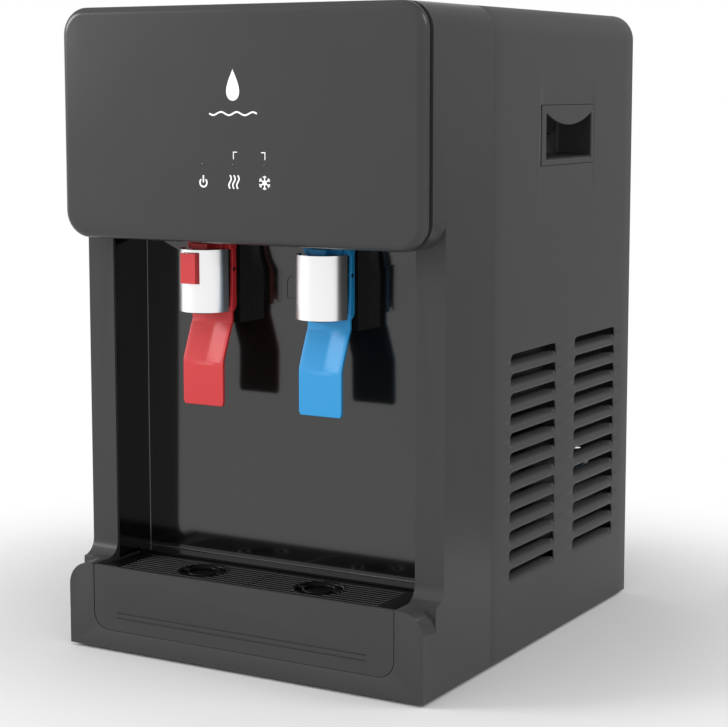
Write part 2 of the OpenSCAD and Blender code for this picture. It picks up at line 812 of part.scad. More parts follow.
module compressor_grommets() {
    seat = pan_top + 12;
    color("#161616") for (sx = [-1, 1]) for (sy = [-1, 1]) difference() {
        rod(comp_x + sx * 54, comp_y + sy * 46, pan_top, seat, 8);
        rod(comp_x + sx * 54, comp_y + sy * 46, pan_top - 1, seat + 1, 3);
    }
}

// Wire-on-tube condenser: level tube runs joined by end bends, with upright wires.
module condenser() {
    y = body_d - 8;
    half = 118;
    runs = 9;
    pitch = 28;
    z0 = 190;
    r = 2.4;
    color("#161616") union() {
        for (i = [0 : runs - 1]) rod_x(y, z0 + i * pitch, -half, half, r);
        for (i = [0 : runs - 2]) rod(i % 2 == 0 ? half : -half, y, z0 + i * pitch, z0 + (i + 1) * pitch, r);
        for (i = [0 : runs - 1]) for (s = [-1, 1]) tube_bend(s * half, y, z0 + i * pitch, r);
        for (i = [-8 : 8]) translate([i * 13, front + y + 2.6, z0 - 8])
            cylinder(h = (runs - 1) * pitch + 16, r = 0.8, $fn = 6);
        for (s = [-1, 1]) for (z = [z0 + pitch, z0 + 7 * pitch])
            rod_y(s * 100, z, back_y + sheet, y, 2);
    }
}

module filter_drier() {
    color("#b87333") union() {
        rod(8, 318, 60, 130, 8);
        rod(8, 318, 45, 150, 2.5);
    }
}

module filter_cartridge(x) {
    color("white") union() {
        rod(x, filter_y, filter_z, filter_z + filter_h, filter_r);
        rod(x, filter_y, filter_z + filter_h - 1, head_mid - 10, filter_r - 8);
    }
}

module filter_head() {
    color("#e8e8e8") union() {
        block([-140, filter_y - 20, head_mid - 9.8], [-20, filter_y + 20, head_mid + 8]);
        rod_x(filter_y, head_mid, -20.1, -12, 6);
    }
}

module inlet_fitting() {
    color("#e8e8e8") difference() {
        union() {
            rod_y(inlet_x, inlet_z, back_y - 14, back_y + 12, 7.6);
            rod_y(inlet_x, inlet_z, back_y + sheet, back_y + 4, 10);
        }
        rod_y(inlet_x, inlet_z, back_y - 3, back_y + 13, supply_r);
        rod_y(inlet_x, inlet_z, back_y - 15, back_y - 2, tube_bore - 1);
    }
}

module inlet_tube() {
    y = back_y - 20;
    z = head_mid;
    color("#d8d8d0") union() {
        rod_y(inlet_x, inlet_z, y, back_y - 14.1, tube_r);
        tube_bend(inlet_x, y, inlet_z, tube_r);
        rod(inlet_x, y, inlet_z, z, tube_r);
        tube_bend(inlet_x, y, z, tube_r);
        rod_y(inlet_x, z, filter_y, y, tube_r);
        tube_bend(inlet_x, filter_y, z, tube_r);
        rod_x(filter_y, z, -11.9, inlet_x, tube_r);
    }
}

module drain_plug(x) {
    color("#e8e8e8") union() {
        rod_y(x, drain_z, back_y - 11.5, back_y + 6, 8.5);
        rod_y(x, drain_z, back_y + sheet, back_y + 9, 11);
    }
}

// Rocker paddle with a round belly that turns in the panel's window.
module rocker_switch(i, tint) {
    x = switch_x + i * switch_pitch;
    color(tint) union() {
        rod_x(back_y + 1, switch_z, x - 7, x + 7, 6);
        translate([x, 0, 0]) along_x(-7, 7) polygon([
            [back_y + 4, switch_z - 10.5], [back_y + 1, switch_z - 5], [back_y + 1, switch_z + 5],
            [back_y + 4, switch_z + 10.5], [back_y + 8.5, switch_z + 10.5], [back_y + 6.5, switch_z],
            [back_y + 8.5, switch_z - 10.5]]);
    }
}

module cord_gland() {
    color("#161616") difference() {
        union() {
            rod_y(gland_x, gland_z, back_y - 6, back_y + 8, 7.6);
            rod_y(gland_x, gland_z, back_y + sheet, back_y + 4, 10);
        }
        rod_y(gland_x, gland_z, back_y - 7, back_y + 9, cord_r);
    }
}

front_panel();
light_guide(-1);  // power_light
light_guide(0);  // hot_light
light_guide(1);  // cold_light
front_frame();
alcove_liner();
tap_blanking_plate();
drip_tray();
drip_grille();
wrap_cover();
hand_grip(-1);  // left_hand_grip
hand_grip(1);  // right_hand_grip
back_panel();
base_pan();
rubber_foot(-1, 30);  // foot_front_left
rubber_foot(1, 30);  // foot_front_right
rubber_foot(-1, body_d - 30);  // foot_rear_left
rubber_foot(1, body_d - 30);  // foot_rear_right
control_board();
case_screws();
tap_body(-tap_x);  // hot_tap_body
tap_cover(-tap_x, true);  // hot_tap_cover
lever(-tap_x, "#d0474a");  // hot_lever
lever_pin(-tap_x);  // hot_lever_pin
valve_stem(-tap_x);  // hot_valve_stem
valve_seal(-tap_x);  // hot_valve_seal
valve_spring(-tap_x);  // hot_valve_spring
tap_nut(-tap_x);  // hot_tap_nut
safety_button();  // hot_safety_button
safety_spring();  // hot_safety_spring
tap_body(tap_x);  // cold_tap_body
tap_cover(tap_x, false);  // cold_tap_cover
lever(tap_x, "#3fa7dc");  // cold_lever
lever_pin(tap_x);  // cold_lever_pin
valve_stem(tap_x);  // cold_valve_stem
valve_seal(tap_x);  // cold_valve_seal
valve_spring(tap_x);  // cold_valve_spring
tap_nut(tap_x);  // cold_tap_nut
hot_tank();
band_heater();
thermostat();
hot_outlet_tube();
cold_tank();
evaporator_coil();
cold_tank_foam();
cold_outlet_tube();
compressor();
compressor_grommets();
condenser();
filter_drier();
filter_cartridge(-50);  // sediment_filter
filter_cartridge(-112);  // carbon_filter
filter_head();
inlet_fitting();
inlet_tube();
drain_plug(hot_x);  // hot_drain_plug
drain_plug(hot_x + drain_pitch);  // cold_drain_plug
rocker_switch(-0.5, "#b02328");  // hot_switch
rocker_switch(0.5, "#1c6f9c");  // cold_switch
cord_gland();
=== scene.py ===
"""Looks of a countertop water dispenser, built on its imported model.

Sizes in the functions are millimetres, with y measured from the front of the case, as on the drawing.
place() turns them into the model's metres. Every new piece is a surface worked out with numpy.
"""
import json
import math

import bpy
import bmesh
import numpy as np
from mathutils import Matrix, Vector


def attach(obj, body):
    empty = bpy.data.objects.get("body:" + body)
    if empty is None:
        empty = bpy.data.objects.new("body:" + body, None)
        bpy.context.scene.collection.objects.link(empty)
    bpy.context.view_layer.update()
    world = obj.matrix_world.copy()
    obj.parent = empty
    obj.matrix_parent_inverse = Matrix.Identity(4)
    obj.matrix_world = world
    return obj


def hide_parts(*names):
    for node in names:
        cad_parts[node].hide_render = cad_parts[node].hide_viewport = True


# Front of the case on the model's y axis, half its width, its height, and each tap's distance from the middle (mm)
FRONT = -178.0
HALF_W = 152.5
HEIGHT = 480.0
TAP_X = 50.5

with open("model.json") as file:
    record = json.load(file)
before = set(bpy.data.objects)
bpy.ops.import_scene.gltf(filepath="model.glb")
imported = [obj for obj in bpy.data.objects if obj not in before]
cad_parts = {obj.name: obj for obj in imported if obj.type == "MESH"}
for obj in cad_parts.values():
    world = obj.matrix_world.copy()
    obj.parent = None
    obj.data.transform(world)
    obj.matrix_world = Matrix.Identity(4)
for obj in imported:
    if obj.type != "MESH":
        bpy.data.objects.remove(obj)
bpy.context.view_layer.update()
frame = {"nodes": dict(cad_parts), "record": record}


# ---- Materials ----


def sheen_of(hex_code):
    """sRGB hex to linear colour: a channel c is c/12.92 below 0.04045, else ((c + 0.055)/1.055) to the power 2.4."""
    c = np.array([int(hex_code[i : i + 2], 16) for i in (1, 3, 5)]) / 255.0
    c = np.where(c <= 0.04045, c / 12.92, ((c + 0.055) / 1.055) ** 2.4)
    return (*c.tolist(), 1.0)


def node(tree, kind, settings=None, **links):
    """Adds one node: settings go to its attributes or sockets, links are (node, output) pairs for its inputs."""
    made = tree.nodes.new(kind)
    for key, value in (settings or {}).items():
        if hasattr(made, key):
            setattr(made, key, value)
        else:
            made.inputs[key].default_value = value
    for name, (source, output) in links.items():
        tree.links.new(source.outputs[output], made.inputs[name.replace("_", " ")])
    return made


def finish(
    name, base, rough, grain_mm=0.0, grain_depth=0.0, tone=0.0, rough_spread=0.0,
    metallic=0.0, ior=1.5, coat=0.0, coat_rough=0.1, specular=0.5,
):
    """One moulded or coated finish: a base colour with a slow tone drift, a roughness spread and a fine grain.

    grain_mm is the size of one grain and grain_depth its height in mm; tone and rough_spread are fractions.
    """
    material = bpy.data.materials.new(name)
    material.use_nodes = True
    tree = material.node_tree
    shader = tree.nodes["Principled BSDF"]
    colour = sheen_of(base)
    shader.inputs["Base Color"].default_value = colour
    shader.inputs["Roughness"].default_value = rough
    shader.inputs["Metallic"].default_value = metallic
    shader.inputs["IOR"].default_value = ior
    shader.inputs["Specular IOR Level"].default_value = specular
    shader.inputs["Coat Weight"].default_value = coat
    shader.inputs["Coat Roughness"].default_value = coat_rough
    where = node(tree, "ShaderNodeTexCoord")
    if tone or rough_spread:
        # Slow drift of the pigment and of the mould's polish, about 60 mm from one patch to the next
        drift = node(tree, "ShaderNodeTexNoise", {"Scale": 1000 / 60, "Detail": 3.0}, Vector=(where, "Object"))
        if tone:
            dark = [v * (1 - tone) for v in colour[:3]] + [1.0]
            light = [min(1.0, v * (1 + tone)) for v in colour[:3]] + [1.0]
            mix = node(tree, "ShaderNodeMix", {"data_type": "RGBA"})
            tree.links.new(drift.outputs["Fac"], mix.inputs[0])
            mix.inputs[6].default_value = dark
            mix.inputs[7].default_value = light
            tree.links.new(mix.outputs[2], shader.inputs["Base Color"])
        if rough_spread:
            limits = {"To Min": rough * (1 - rough_spread), "To Max": rough * (1 + rough_spread)}
            spread = node(tree, "ShaderNodeMapRange", limits, Value=(drift, "Fac"))
            tree.links.new(spread.outputs["Result"], shader.inputs["Roughness"])
    if grain_mm:
        grain = node(tree, "ShaderNodeTexNoise", {"Scale": 1000 / grain_mm, "Detail": 2.0}, Vector=(where, "Object"))
        bump = node(tree, "ShaderNodeBump", {"Strength": 1.0, "Distance": grain_depth * 0.001}, Height=(grain, "Fac"))
        tree.links.new(bump.outputs["Normal"], shader.inputs["Normal"])
    return material


def paint_top_highlight(material, flank, top):
    """Paints a highlight on the upward faces of a finish: the flank colour below a normal z of 0.9, turning to the
    lighter top colour at 0.99.
    """
    tree = material.node_tree
    surface = node(tree, "ShaderNodeNewGeometry")
    split = node(tree, "ShaderNodeSeparateXYZ", Vector=(surface, "Normal"))
    share = node(tree, "ShaderNodeMapRange", {"From Min": 0.9, "From Max": 0.99}, Value=(split, "Z"))
    mix = node(tree, "ShaderNodeMix", {"data_type": "RGBA"})
    tree.links.new(share.outputs["Result"], mix.inputs[0])
    mix.inputs[6].default_value = sheen_of(flank)
    mix.inputs[7].default_value = sheen_of(top)
    tree.links.new(mix.outputs[2], tree.nodes["Principled BSDF"].inputs["Base Color"])


# Satin moulded ABS of the case front: dark grey with a soft sheen of the room round it.
CASE_ABS = finish("satin_abs_dark_grey", "#383838", 0.26, 0.5, 0.001, 0.04, 0.1, specular=0.25)
# Powder-coated sheet steel of the wrap: the orange-peel of cured powder, 1.2 mm from one dimple to the next.
WRAP_STEEL = finish("powder_coated_steel_dark_grey", "#3c3c3c", 0.42, 1.2, 0.002, 0.04, 0.12, specular=0.25)
# Piano-black lacquered ABS of the alcove: its clear coat is smooth enough to mirror the taps.
ALCOVE_ABS = finish("lacquered_abs_piano_black", "#0c0c0c", 0.12, 0.5, 0.0003, 0.04, 0.1, coat=0.7, coat_rough=0.08)
# Black ABS of the tap bodies and the gland: black with a satin edge light.
TAP_ABS = finish("satin_abs_black", "#0f0f0f", 0.3, 0.5, 0.001, 0.05, 0.1)
# Black ABS of the grille's rim and targets: dull.
GRILLE_ABS = finish("moulded_abs_black", "#040404", 0.4, 0.6, 0.001, 0.05, 0.15, specular=0.12)
# The same ABS on the bars: dull flanks, and tops painted a lighter grey by how far they face up, a painted highlight.
TOP_HIGHLIGHT_ABS = finish("abs_black_painted_top_highlight", "#040404", 0.4, 0.6, 0.001, 0.0, 0.15, specular=0.12)
# Painted highlight: the bar tops get the lighter grey #686868, while the flanks stay near black.
paint_top_highlight(TOP_HIGHLIGHT_ABS, "#030303", "#686868")
# Polypropylene of the hand grips' pockets: black and dull, with a spark-eroded texture.
GRIP_PP = finish("textured_polypropylene_black", "#070707", 0.6, 0.8, 0.01, 0.05, 0.1)
# Silver metallic paint on ABS: flakes in a clear lacquer, so it runs from white to mid grey round the curve.
SILVER_PAINT = finish(
    "silver_metallic_paint", "#f2f2f2", 0.3, 0.25, 0.0006, 0.01, 0.1, metallic=0.95, coat=0.1
)
# Coloured acetal of the levers and the button: even pigment, soft gloss.
RED_ACETAL = finish("red_acetal", "#bc2328", 0.5, 0.6, 0.002, 0.02, 0.08)
BLUE_ACETAL = finish("blue_acetal", "#178ac6", 0.5, 0.6, 0.002, 0.02, 0.08)
# Nylon of the rocker switches: coloured through, glossy.
RED_NYLON = finish("red_nylon_switch", "#a3161b", 0.25, 0.6, 0.002, 0.03, 0.1)
BLUE_NYLON = finish("blue_nylon_switch", "#14527c", 0.25, 0.6, 0.002, 0.03, 0.1)
# Smoked polycarbonate of the indicator lenses: dark while the lights are off.
SMOKED_PC = finish("smoked_polycarbonate", "#0b0b0d", 0.3, ior=1.58)
# Rubber of the feet and grommets: black, dull, dusty.
FOOT_RUBBER = finish("black_rubber", "#171717", 0.75, 0.7, 0.02, 0.08, 0.1)
# Brushed stainless steel of the tanks.
STAINLESS = finish("brushed_stainless", "#b9b9b6", 0.28, 0.4, 0.002, 0.03, 0.2, metallic=1.0)
# Zinc-plated steel of the springs, pins and screws.
ZINC_STEEL = finish("zinc_plated_steel", "#a9abad", 0.32, 0.8, 0.003, 0.05, 0.2, metallic=1.0)
# Milky silicone of the tubes and seals.
SILICONE = finish("milky_silicone", "#d9d7cc", 0.45, 0.8, 0.004, 0.03, 0.1, ior=1.41)
# White polypropylene of the filter shells and fittings.
WHITE_PP = finish("white_polypropylene", "#e4e3de", 0.4, 0.8, 0.004, 0.02, 0.1)
# Elastomeric foam round the cold tank: black, dull, with cells of about 2 mm.
FOAM_NBR = finish("black_elastomeric_foam", "#141414", 0.85, 2.0, 0.12, 0.04)
# Drawn copper of the evaporator and the drier, slightly tarnished.
COPPER = finish("drawn_copper", "#b5643c", 0.3, 3.0, 0.004, 0.12, 0.3, metallic=1.0)
# Glass-epoxy board with green solder mask.
BOARD_FR4 = finish("green_circuit_board", "#1d4a2c", 0.35, 2.0, 0.02, 0.1, 0.1)
# Black stove enamel of the compressor and the condenser.
STOVE_ENAMEL = finish("black_stove_enamel", "#0e0e0e", 0.3, 1.5, 0.01, 0.05, 0.15)
# Galvanised sheet of the base pan, with a spangle of about 8 mm.
GALVANISED = finish("galvanised_sheet", "#8e9193", 0.4, 8.0, 0.01, 0.12, 0.25, metallic=1.0)
# White pad-printing ink of the symbols on the panel.
PRINT_INK = finish("white_printing_ink", "#f6f6f6", 0.5)

FINISHES = {
    "case_plastic": CASE_ABS, "steel_wrap": WRAP_STEEL, "alcove_plastic": ALCOVE_ABS, "tap_black": TAP_ABS,
    "grille_black": GRILLE_ABS, "grip_black": GRIP_PP, "tap_silver": SILVER_PAINT, "hot_red": RED_ACETAL,
    "cold_blue": BLUE_ACETAL, "switch_red": RED_NYLON, "switch_blue": BLUE_NYLON, "indicator": SMOKED_PC,
    "rubber_black": FOOT_RUBBER, "stainless": STAINLESS, "zinc_steel": ZINC_STEEL, "silicone": SILICONE,
    "white_plastic": WHITE_PP, "foam": FOAM_NBR, "copper": COPPER, "circuit_board": BOARD_FR4,
    "black_enamel": STOVE_ENAMEL, "galvanised": GALVANISED,
}
SLOT_OF = {part["node"]: part["material_slot"] for part in frame["record"]["subparts"]}
for name, obj in frame["nodes"].items():
    obj.data.materials.clear()
    obj.data.materials.append(FINISHES[SLOT_OF[name]])


# ---- Making pieces ----


def shade(mesh, sharp):
    """Smooth shading, with edges sharper than sharp degrees left crisp."""
    mesh.polygons.foreach_set("use_smooth", np.ones(len(mesh.polygons), bool))
    mesh.set_sharp_from_angle(angle=math.radians(sharp))
    mesh.update()


def place(name, points, faces, body, slot, stands_for=(), sharp=35, material=None):
    """Puts points (mm, y from the front) and faces in a mesh where they belong, on its CAD body."""
    mesh = bpy.data.meshes.new(name)
    metres = (np.asarray(points, float) + (0, FRONT, 0)) * 0.001
    mesh.from_pydata(metres.tolist(), [], [list(map(int, f)) for f in faces])
    mesh.validate()
    shade(mesh, sharp)
    mesh.materials.append(material or FINISHES[slot])
    obj = bpy.data.objects.new(name, mesh)
    bpy.context.scene.collection.objects.link(obj)
    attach(obj, body)
    if stands_for:
        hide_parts(*stands_for)
    return obj


def quads(rows, cols, wrap=False):
    """Faces of a grid of rows by cols points, each point with its right and upper neighbours; wrap closes a row."""
    i, j = np.meshgrid(np.arange(rows - 1), np.arange(cols if wrap else cols - 1), indexing="ij")
    k = (j + 1) % cols
    return np.stack([i * cols + j, i * cols + k, (i + 1) * cols + k, (i + 1) * cols + j], -1).reshape(-1, 4)


def lofted(rings):
    """Closed solid through a stack of closed rings (n, m, 3): side quads and a flat face on each end."""
    n, m = rings.shape[:2]
    faces = [list(f) for f in quads(n, m, True)]
    return rings.reshape(-1, 3), faces + [list(range(m))[::-1], list(range((n - 1) * m, n * m))]


def looped(rings):
    """Closed tube through rings (n, m, 3) that stand round a loop: the last ring joins the first."""
    n, m = rings.shape[:2]
    faces = []
    for i in range(n):
        for j in range(m):
            right, ahead = (j + 1) % m, (i + 1) % n
            faces.append([i * m + j, i * m + right, ahead * m + right, ahead * m + j])
    return rings.reshape(-1, 3), faces


def rounded_ring(half, low, high, radius, inset, corner=14):
    """x, z of rings round a rounded rectangle: a corner's centre plus (radius - inset) times (cos, sin) of its turn."""
    turn = np.radians(np.concatenate([np.linspace(a, a + 90, corner) for a in (0, 90, 180, 270)]))
    cx = np.repeat([1, -1, -1, 1], corner) * (half - radius)
    cz = np.repeat([high - radius, high - radius, low + radius, low + radius], corner)
    r = radius - np.asarray(inset, float)[:, None]
    return cx + r * np.cos(turn), cz + r * np.sin(turn)


def eased(node_name, width, body, steps=2, angle=32, sharp=35, name=None, stands_for=None):
    """A copy of a CAD node with its loose triangles merged and its edges eased by width mm."""
    source = frame["nodes"][node_name]
    mesh = source.data.copy()
    work = bmesh.new()
    work.from_mesh(mesh)
    bmesh.ops.remove_doubles(work, verts=work.verts, dist=1e-6)
    bmesh.ops.dissolve_limit(work, angle_limit=math.radians(0.6), verts=work.verts, edges=work.edges)
    work.to_mesh(mesh)
    work.free()
    obj = bpy.data.objects.new(name or node_name + "_eased", mesh)
    bpy.context.scene.collection.objects.link(obj)
    bevel = obj.modifiers.new("eased_edges", "BEVEL")
    bevel.width = width * 0.001
    bevel.segments = steps
    bevel.limit_method = "ANGLE"
    bevel.angle_limit = math.radians(angle)
    bevel.harden_normals = True
    shade(mesh, sharp)
    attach(obj, body)
    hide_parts(node_name)
    return obj


# ---- Case ----


def panel_face():
    """Face plate of the head: rings whose inset and depth follow a quarter circle round the front edge."""
    edge = 6.0
    t = np.linspace(0, np.pi / 2, 9)
    inset = np.concatenate([[10, 6.2, 6.2, 0.4, 0], edge * (1 - np.cos(t))])
    y = np.concatenate([[11.3, 11.3, 8.3, 8.3, 7.9], edge * (1 - np.sin(t))])
    x, z = rounded_ring(HALF_W - 0.8, 312, HEIGHT, 20, inset)
    rings = np.stack([x, np.broadcast_to(y[:, None], x.shape), z], -1)
    return place("panel_face", *lofted(rings), "case", "case_plastic", ["front_panel"], 50)


def flatten(obj):
    """Lets the large faces set the shading of the corners they share, so flat areas stay flat."""
    even = obj.modifiers.new("even_shading", "WEIGHTED_NORMAL")
    even.keep_sharp = True
    even.weight = 80
    return obj


def end_lines(start, length, near, step):
    """Grid lines of one run: the near offsets from both of its ends, and even lines about step apart between them."""
    near = np.asarray(near, float)
    middle = np.linspace(near[-1], length - near[-1], max(2, int((length - 2 * near[-1]) / step) + 1))[1:-1]
    return start + np.concatenate([near, middle, length - near[::-1]])


def wrap_sheet():
    """Folded steel wrap with pressed louvres: a grid of fold position against depth.

    Inside a louvre's lower part the sheet leans in by 10 * E * (1 - cos t) mm while the height grows with sin t,
    and E rises along a quarter ellipse over the first 6 mm from each end. The part above the lip is open, and the
    window's upper corners are cut on a 5 mm arc. The grip's window is left open too.
    """
    pitch, tall, gap_above, long_side, corner = 14.64, 12.2, 6.5, 79.5, 5.0
    arc = corner * (1 - np.cos(np.radians([0, 30, 60, 90])))
    near = np.unique(np.concatenate([[0, 0.12, 0.35], arc, [1.3, 3.7, 6.2]]).round(4))
    columns = [133.0, 247.0]
    grip_y, grip_z = (180.1, 278.3), (363.7, 409.3)
    runs = [end_lines(c, long_side, near, 9) for c in columns]
    y = np.unique(np.concatenate([[103.9, 118, grip_y[0], 230, grip_y[1], 340, 356]] + runs).round(4))
    tops = 228.6 - pitch * np.arange(12)
    lean_t = np.radians(np.linspace(0, 90, 9))
    levels = np.concatenate([(tops - tall)[:, None] + 5.7 * np.sin(lean_t), tops[:, None] - arc], axis=None)
    z = np.unique(np.concatenate([[2.5, 30, 250, 300, grip_z[0], 386, grip_z[1], 440, 460], levels]).round(4))
    turn = np.radians(np.linspace(0, 90, 15))[1:-1]
    shoulder = 20.0
    half = np.concatenate([
        np.stack([np.full(len(z), HALF_W), z], 1),
        np.stack([HALF_W - shoulder + shoulder * np.cos(turn), HEIGHT - shoulder + shoulder * np.sin(turn)], 1),
        np.stack([np.linspace(HALF_W - shoulder, 0, 8), np.full(8, HEIGHT)], 1),
    ])
    profile = np.concatenate([half[:-1], half[::-1] * (-1, 1)])
    rows, cols = len(profile), len(y)
    points = np.zeros((rows, cols, 3))
    points[..., 0], points[..., 1], points[..., 2] = profile[:, 0:1], y, profile[:, 1:2]
    side = np.abs(profile[:, 0]) > HALF_W - 0.1
    for c in columns:
        from_end = np.clip(np.minimum(y - c, c + long_side - y), 0, 6) / 6
        reach = np.sqrt(1 - (1 - from_end) ** 2) * ((y > c) & (y < c + long_side))
        for top in tops:
            up = np.clip((profile[:, 1] - top + tall) / 5.7, 0, 1)
            lean = np.where(side & (profile[:, 1] <= top - gap_above + 1e-3), 1 - np.sqrt(1 - up**2), 0)
            points[..., 0] -= np.sign(profile[:, 0:1]) * 10 * lean[:, None] * reach
    low = np.minimum(profile[:-1, 1], profile[1:, 1])[:, None]
    high = np.maximum(profile[:-1, 1], profile[1:, 1])[:, None]
    flat = (side[:-1] & side[1:])[:, None]
    left, right = y[None, :-1], y[None, 1:]

    def within(y0, y1, z0, z1):
        return flat & (left > y0 - 0.01) & (right < y1 + 0.01) & (low > z0 - 0.01) & (high < z1 + 0.01)

    keep = ~within(*grip_y, *grip_z)
    faces = []
    index = np.arange(rows * cols).reshape(rows, cols)
    for c in columns:
        for top in tops:
            inside = within(c, c + long_side, top - gap_above, top)
            deep_y = np.minimum(left - c, c + long_side - right)
            deep_z = top - high
            above = (corner - deep_y - 0.01) ** 2 + (corner - deep_z - 0.01) ** 2 >= corner**2
            far_y = np.maximum(np.minimum(right - c, c + long_side - left), 0)
            inner = (corner - far_y) ** 2 + (corner - (top - low)) ** 2
            solid = inside & above & (deep_y < corner) & (deep_z < corner) & (inner >= corner**2 - 0.05)
            cut = inside & above & ~solid & (deep_y < corner) & (deep_z < corner)
            keep &= ~inside | solid
            for i, j in zip(*np.nonzero(cut)):
                ring = [index[i, j], index[i, j + 1], index[i + 1, j + 1], index[i + 1, j]]
                d = [(max(0.0, corner - min(y[k % cols] - c, c + long_side - y[k % cols]))) ** 2
                     + (max(0.0, corner - (top - profile[k // cols, 1]))) ** 2 for k in ring]
                kept = [k for k, v in zip(ring, d) if v >= corner**2 - 0.06]
                if len(kept) == 3:
                    faces.append(kept)
    grid = np.stack([index[:-1, :-1], index[:-1, 1:], index[1:, 1:], index[1:, :-1]], -1)[keep]
    faces += grid.tolist()
    used = np.unique(np.concatenate([np.asarray(f) for f in faces]))
    fresh = np.full(rows * cols, -1)
    fresh[used] = np.arange(len(used))
    faces = [fresh[list(f)] for f in faces]
    obj = place("wrap_sheet", points.reshape(-1, 3)[used], faces, "case", "steel_wrap", ["wrap_cover"], 14)
    thicken = obj.modifiers.new("sheet", "SOLIDIFY")
    thicken.thickness = 0.0012
    thicken.offset = -1
    return flatten(obj)


def hand_grip(side, name):
    """Grip of one side: a flush plate whose opening has an arched lip, dip mm deep on a circle, and a pocket."""
    y0, y1, z1, dip = 190.5, 274.0, 403.5, 9.5
    reach = (y1 - y0) / 2
    radius = (reach**2 + dip**2) / (2 * dip)
    y = np.concatenate([[182.5, 185], np.linspace(y0, y1, 33), [276, 278]])
    inside = np.clip(y, y0, y1) - (y0 + y1) / 2
    lip = z1 - dip + radius - np.sqrt(radius**2 - inside**2)
    z = np.stack([np.full(len(y), 364.0), np.full(len(y), 368.5), lip, np.full(len(y), 409.0)])
    points = np.stack([np.full(z.shape, side * HALF_W), np.broadcast_to(y, z.shape), z], -1)
    faces = [f for f in quads(*z.shape) if not (len(y) <= f[0] < 2 * len(y) and 2 <= f[0] % len(y) < 34)]
    if side < 0:
        faces = [f[::-1] for f in faces]
    plate = place(name + "_plate", points.reshape(-1, 3), faces, "case", "steel_wrap", [name], 40)
    plate.modifiers.new("plate", "SOLIDIFY").thickness = 0.002
    plate.modifiers["plate"].offset = -1
    ease = plate.modifiers.new("eased_edges", "BEVEL")
    ease.width, ease.segments = 0.0004, 2
    flatten(plate)
    inset = np.array([-1.5, 0, 0.5, 2.0, 4.0, 40.0])
    depth = np.array([1.9, 1.9, 27.0, 29.0, 30.0, 30.0])
    turn = np.radians(np.concatenate([np.linspace(a, a + 90, 8) for a in (0, 90, 180, 270)]))
    cy = np.repeat([1, -1, -1, 1], 8) * (reach - 4) + (y0 + y1) / 2
    cz = np.repeat([1, 1, -1, -1], 8) * (17.5 - 4) + 386
    shrink = np.clip(inset - 4, 0, 13)[:, None]
    r = np.clip(4 - inset, 0.3, None)[:, None]
    ring_y = cy - np.sign(np.cos(turn + 1e-6)) * shrink + r * np.cos(turn)
    ring_z = cz - np.sign(np.sin(turn + 1e-6)) * np.minimum(shrink, 13) + r * np.sin(turn)
    rings = np.stack([np.broadcast_to(side * (HALF_W - depth)[:, None], ring_y.shape), ring_y, ring_z], -1)
    faces = quads(len(inset), 32, True).tolist() + [list(range(5 * 32, 6 * 32))]
    if side > 0:
        faces = [f[::-1] for f in faces]
    pocket = place(name + "_pocket", rings.reshape(-1, 3), faces, "case", "grip_black", (), 40)
    pocket.modifiers.new("wall", "SOLIDIFY").thickness = 0.0015
    pocket.modifiers["wall"].offset = -1


def prism(name, outline, low, high, axis, body, slot, bevel=0.5):
    """Closed prism: an outline (n, 2) carried along x or z from low to high, with eased edges."""
    outline = np.asarray(outline, float)
    ends = [np.full(len(outline), v) for v in (low, high)]
    if axis == "x":
        rings = np.stack([np.stack([e, outline[:, 0], outline[:, 1]], -1) for e in ends])
    else:
        rings = np.stack([np.stack([outline[:, 0], outline[:, 1], e], -1) for e in ends])
    obj = place(name, *lofted(rings), body, slot, (), 40)
    ease = obj.modifiers.new("eased_edges", "BEVEL")
    ease.width, ease.segments, ease.limit_method = bevel * 0.001, 2, "ANGLE"
    return obj


def lever(x, body, slot):
    """Lever: a paddle, a slope 22 degrees off upright and a short upright top.

    The slope stands 0.9 mm proud at its edges. From u = -0.86 and 0.86 (u runs across, -1 to 1) it sinks in straight
    lines to a crease at u = 0.1, 2.6 mm deeper, and share fades both towards the slope's ends.
    """
    y = np.array([32.8, 32.8, 32.8, 32.8, 33.2, 34.2, 36.7, 39.2, 41.7, 43.8, 44.9, 45.2, 45.2])
    z = np.array([189.0, 192, 205, 219, 221.6, 224.2, 230.1, 236, 241.9, 246.9, 249.6, 252, 262])
    share = np.clip((z - 220) / 5, 0, 1) * np.clip((251 - z) / 3, 0, 1)
    u = np.concatenate([[-1, -0.93, -0.86], np.linspace(-0.7, 0.06, 8), np.linspace(0.14, 0.8, 7), [0.86, 0.93, 1]])
    edge = np.clip((np.abs(u) - 0.86) / 0.14, 0, 1)
    crease = np.where(u < 0.1, (u + 0.86) / 0.96, (0.86 - u) / 0.76).clip(0, 1)
    corner = np.clip((191.5 - z) / 2.5, 0, 1)[:, None]
    points = np.zeros((len(z), len(u), 3))
    points[..., 0] = x + u * (17.8 - 1.2 * corner**2)
    points[..., 1] = y[:, None] + share[:, None] * (2.6 * crease * (1 - edge) - 0.9)
    points[..., 2] = z[:, None]
    paddle = place(slot + "_paddle", points.reshape(-1, 3), quads(len(z), len(u)), body, slot, [body], 10)
    paddle.modifiers.new("plate", "SOLIDIFY").thickness = 0.0025
    paddle.modifiers["plate"].offset = -1
    ease = paddle.modifiers.new("eased_edges", "BEVEL")
    ease.width, ease.segments, ease.limit_method = 0.0006, 3, "ANGLE"
    ease.angle_limit = math.radians(60)
    flatten(paddle)
    for s in (-1, 1):
        low, high = sorted((x + s * 16.8, x + s * 19.2))
        cheek = [(43.4, 258.5), (47, 259), (49.6, 262.5), (49.6, 305), (45, 305), (44.4, 290)]
        prism(slot + ("_cheek_right" if s > 0 else "_cheek_left"), cheek, low, high, "x", body, slot)
    right_half = [(7, 29.5), (7, 37.5), (15, 37.5), (15, 42), (19.2, 42), (19.2, 50)]
    cap = [(-across, y) for across, y in right_half[::-1]] + right_half
    cap = np.roll(np.asarray(cap, float), -1, 0) + (x, 0)
    prism(slot + "_cap", cap, 304.5, 309, "z", body, slot)


